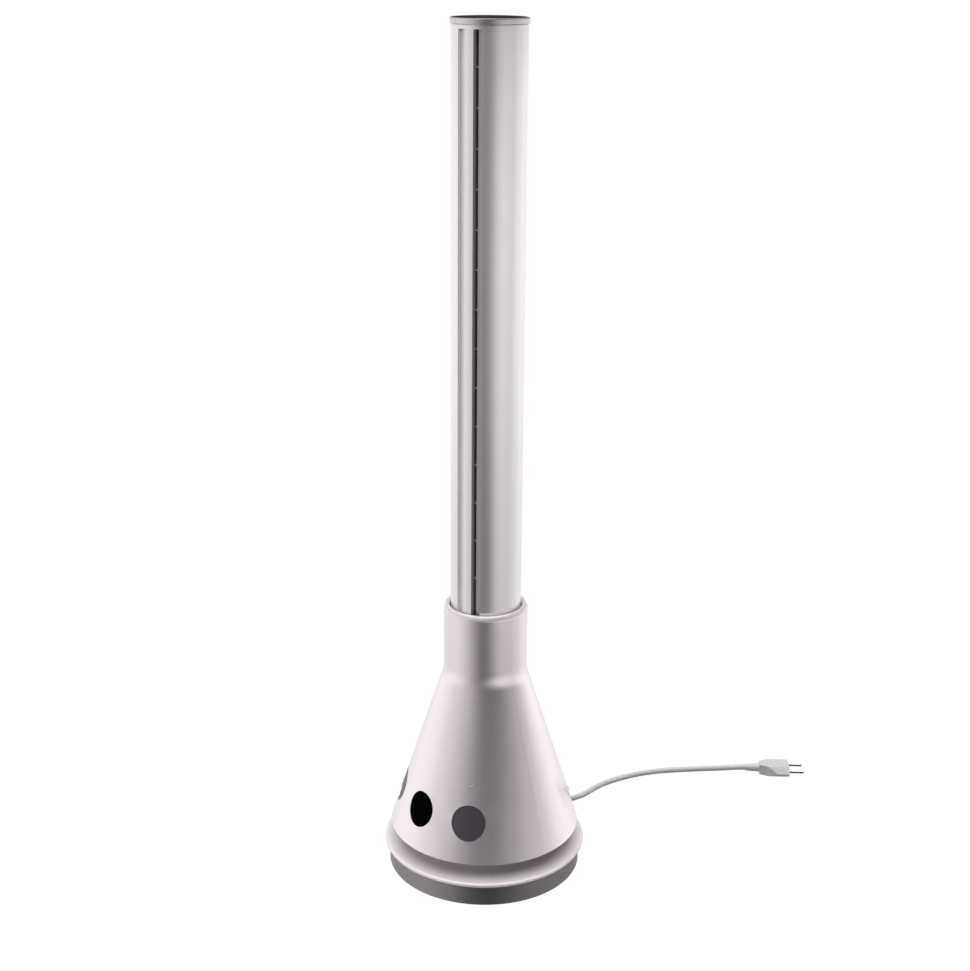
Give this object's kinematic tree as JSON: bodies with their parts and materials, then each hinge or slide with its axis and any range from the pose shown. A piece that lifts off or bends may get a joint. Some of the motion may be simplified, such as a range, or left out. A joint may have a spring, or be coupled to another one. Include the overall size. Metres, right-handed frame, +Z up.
{
  "type": "tower fan",
  "caption": "Slim round bladeless tower fan: a column with two long air slots swivels in a conical base with push buttons, on a flanged round foot, with a mains cord.",
  "frame": {"origin": "centre of the round base at floor level", "axes": "+Z up along the column; the front with the black window faces -Y and the cord leaves at +Y"},
  "size_m": [0.3124, 0.5669, 0.948],
  "materials": {
    "feet_rubber": "matt",
    "base_grey": "satin grey",
    "ballast_iron": "rough",
    "screw_steel": "zinc plated",
    "circuit_board": "solder mask",
    "electronic_parts": "moulded",
    "pearl_white": "glossy pearl white lacquer",
    "inner_dark": "matt",
    "inner_light": "matt",
    "button_grey": "satin dark grey",
    "window_black": "black lens",
    "spring_steel": "wire",
    "impeller_grey": "satin",
    "shaft_steel": "ground",
    "motor_iron": "ground",
    "motor_copper": "enamelled windings on steel",
    "motor_can": "drawn can",
    "gear_plastic": "acetal",
    "column_white": "glossy pearl white lacquer",
    "nozzle_silver": "satin silver",
    "ring_silver": "satin silver",
    "cap_black": "glossy black",
    "cord_white": "satin light grey vinyl",
    "tie_black": "nylon",
    "plug_white": "satin light grey vinyl",
    "pin_brass": "nickel plated brass"
  },
  "bodies": {
    "base": {"rubber_feet": "feet_rubber", "base_disc": "base_grey", "base_ballast": "ballast_iron", "base_screws": "screw_steel", "power_board": "circuit_board", "power_parts": "electronic_parts", "base_flange": "pearl_white", "intake_grille": "inner_dark", "cone_screws": "screw_steel", "cone_shell": "pearl_white", "display_window": "window_black", "display_board": "circuit_board", "button_guides": "inner_light", "power_button_spring": "spring_steel", "mode_button_spring": "spring_steel", "button_switches": "electronic_parts", "vibration_dampers": "feet_rubber", "inlet_bellmouth": "inner_light", "fan_housing": "inner_light", "motor_stator": "motor_copper", "motor_case": "motor_can", "motor_bearings": "shaft_steel", "diffuser": "inner_light", "outlet_duct": "inner_light", "swivel_bracket": "inner_light", "swivel_motor": "motor_can", "swivel_bearing": "gear_plastic", "cord_gland": "cord_white", "supply_cord_inner": "cord_white", "supply_cord_coil": "cord_white", "supply_cord_outer": "cord_white", "cable_tie": "tie_black", "plug_body": "plug_white", "plug_pins": "pin_brass"},
    "column": {"column_foot": "inner_light", "ring_gear": "gear_plastic", "column_shell": "column_white", "left_nozzle": "nozzle_silver", "right_nozzle": "nozzle_silver", "air_guide": "inner_dark", "top_ring": "ring_silver", "top_cap": "cap_black"},
    "fan_rotor": {"impeller": "impeller_grey", "motor_shaft": "shaft_steel", "motor_rotor": "motor_iron"},
    "pinion": {"pinion_shaft": "shaft_steel", "swivel_pinion": "gear_plastic"},
    "power_key": {"power_button": "button_grey"},
    "mode_key": {"mode_button": "button_grey"}
  },
  "joints": [
    {"name": "column_swivel", "type": "hinge", "parent": "base", "child": "column", "pos_m": [0, 0, 0.253], "axis": [0, 0, 1], "range_deg": [-58.6, 21.4]},
    {"name": "pinion_spin", "type": "hinge", "parent": "base", "child": "pinion", "pos_m": [0, 0.042, 0.203], "axis": [0, 0, 1], "range_deg": [-128.4, 351.6]},
    {"name": "impeller_spin", "type": "hinge", "parent": "base", "child": "fan_rotor", "pos_m": [0, 0, 0.1], "axis": [0, 0, 1], "continuous": true},
    {"name": "power_press", "type": "slide", "parent": "base", "child": "power_key", "axis": [-0.632, 0.7749, 0], "range_m": [0, 0.0015], "stiffness_N_per_m": 600, "deforming": ["power_button_spring"]},
    {"name": "mode_press", "type": "slide", "parent": "base", "child": "mode_key", "axis": [0.632, 0.7749, 0], "range_m": [0, 0.0015], "stiffness_N_per_m": 600, "deforming": ["mode_button_spring"]}
  ],
  "couplings": [
    {"joint": "pinion_spin", "follows": "column_swivel", "ratio": -6}
  ]
}
